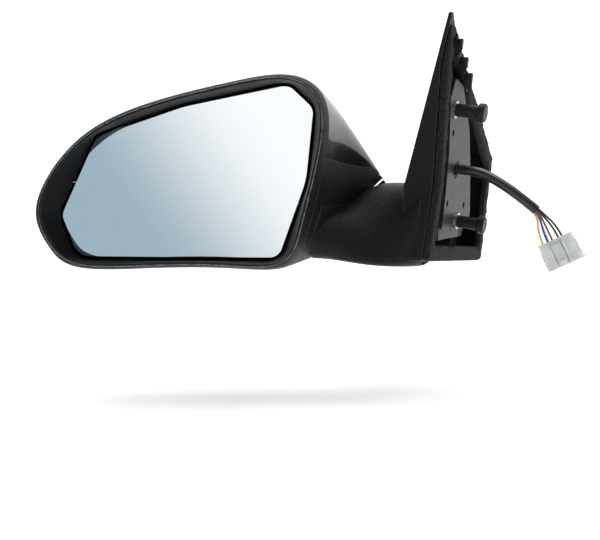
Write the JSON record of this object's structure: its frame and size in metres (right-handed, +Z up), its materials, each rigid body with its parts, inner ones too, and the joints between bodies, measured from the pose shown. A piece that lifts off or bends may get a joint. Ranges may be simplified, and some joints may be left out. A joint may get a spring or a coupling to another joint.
{
  "type": "car side mirror",
  "caption": "Left-hand car door mirror with a folding head, electrically tilted glass, turn-signal strip, door gasket, fixing studs and wiring connector.",
  "frame": {"origin": "on the bracket's contact face, where it rests on the door, between the three tapped holes", "axes": "+X inboard towards the door, +Y forward in the car's driving direction, +Z up. The contact face leans 8 degrees inboard at the top."},
  "size_m": [0.3526, 0.2646, 0.1745],
  "materials": {
    "textured_black": "fine leather-grain moulding texture",
    "gloss_black": "gloss black lacquer",
    "clear_lens": "clear moulded lens with fine ribs",
    "light_guide": "clear ribbed light guide",
    "lamp_chrome": "metallised reflector",
    "board_green": "circuit board",
    "mirror": "slightly blue mirror glass",
    "heater_film": "printed heater film",
    "inner_plastic": "plain moulded plastic",
    "grey_plastic": "plain moulded plastic",
    "nylon": "natural nylon",
    "cast_alloy": "die-cast alloy with a dark coating",
    "zinc_steel": "zinc-plated steel",
    "spring_steel": "spring steel",
    "foam": "open-cell foam",
    "rubber": "moulded rubber",
    "sleeve": "satin vinyl tube",
    "wire_yellow": "vinyl",
    "wire_blue": "vinyl",
    "wire_brown": "vinyl",
    "wire_white": "vinyl",
    "wire_black": "vinyl",
    "milky_plastic": "natural translucent nylon",
    "tin": "tinned contact"
  },
  "bodies": {
    "base": {"base_bracket": "cast_alloy", "base_cover": "textured_black", "detent_ring": "zinc_steel", "pivot_spring": "spring_steel", "spring_retainer": "zinc_steel", "door_gasket": "foam", "sail_hooks": "inner_plastic", "door_studs": "zinc_steel", "stud_caps": "inner_plastic", "cover_screws": "zinc_steel", "wire_grommet": "rubber", "harness_sleeve": "sleeve", "wire_yellow": "wire_yellow", "wire_blue": "wire_blue", "wire_brown": "wire_brown", "wire_white": "wire_white", "wire_black_a": "wire_black", "wire_black_b": "wire_black", "connector_housing": "milky_plastic", "connector_lock": "milky_plastic", "connector_terminals": "tin"},
    "head": {"rear_bezel": "textured_black", "cap": "gloss_black", "lower_cover": "textured_black", "lamp_lens": "clear_lens", "lamp_light_bar": "light_guide", "lamp_housing": "lamp_chrome", "lamp_board": "board_green", "fold_shroud": "inner_plastic", "head_frame": "inner_plastic", "frame_screws": "zinc_steel", "drive_base": "grey_plastic", "drive_cover": "grey_plastic", "drive_screws": "zinc_steel", "motor_yaw": "zinc_steel", "motor_pitch": "zinc_steel"},
    "gimbal": {"glass_gimbal": "nylon"},
    "glass_carrier": {"glass_holder": "inner_plastic", "heater_pad": "heater_film", "mirror_glass": "mirror"},
    "jackscrew_yaw": {"jackscrew_yaw": "nylon"},
    "jackscrew_pitch": {"jackscrew_pitch": "nylon"},
    "wheel_yaw": {"wheel_yaw": "nylon"},
    "wheel_pitch": {"wheel_pitch": "nylon"}
  },
  "joints": [
    {"name": "fold", "type": "hinge", "parent": "base", "child": "head", "pos_m": [-0.09064, -0.04887, 0], "axis": [0, 0, 1], "range_deg": [0, 50]},
    {"name": "glass_yaw", "type": "hinge", "parent": "head", "child": "gimbal", "pos_m": [-0.16951, -0.0947, 0], "axis": [0, 0, 1], "range_deg": [-3, 3]},
    {"name": "glass_pitch", "type": "hinge", "parent": "gimbal", "child": "glass_carrier", "pos_m": [-0.16951, -0.0947, 0], "axis": [0.9537, 0.3007, 0], "range_deg": [-5, 3]},
    {"name": "jackscrew_yaw_travel", "type": "slide", "parent": "head", "child": "jackscrew_yaw", "axis": [-0.3007, 0.9537, 0], "range_m": [-0.0038, 0.0038]},
    {"name": "jackscrew_pitch_travel", "type": "slide", "parent": "head", "child": "jackscrew_pitch", "axis": [-0.3007, 0.9537, 0], "range_m": [-0.0038, 0.0038]},
    {"name": "wheel_yaw_spin", "type": "hinge", "parent": "head", "child": "wheel_yaw", "pos_m": [-0.14997, -0.07019, 0], "axis": [-0.3007, 0.9537, 0], "range_deg": [-330, 330]},
    {"name": "wheel_pitch_spin", "type": "hinge", "parent": "head", "child": "wheel_pitch", "pos_m": [-0.17477, -0.07801, 0.026], "axis": [-0.3007, 0.9537, 0], "range_deg": [-330, 330]}
  ],
  "couplings": [
    {"joint": "jackscrew_yaw_travel", "follows": "glass_yaw", "m_per_rad": 0.026},
    {"joint": "jackscrew_pitch_travel", "follows": "glass_pitch", "m_per_rad": -0.026},
    {"joint": "wheel_yaw_spin", "follows": "glass_yaw", "ratio": 40.841},
    {"joint": "wheel_pitch_spin", "follows": "glass_pitch", "ratio": -40.841}
  ]
}
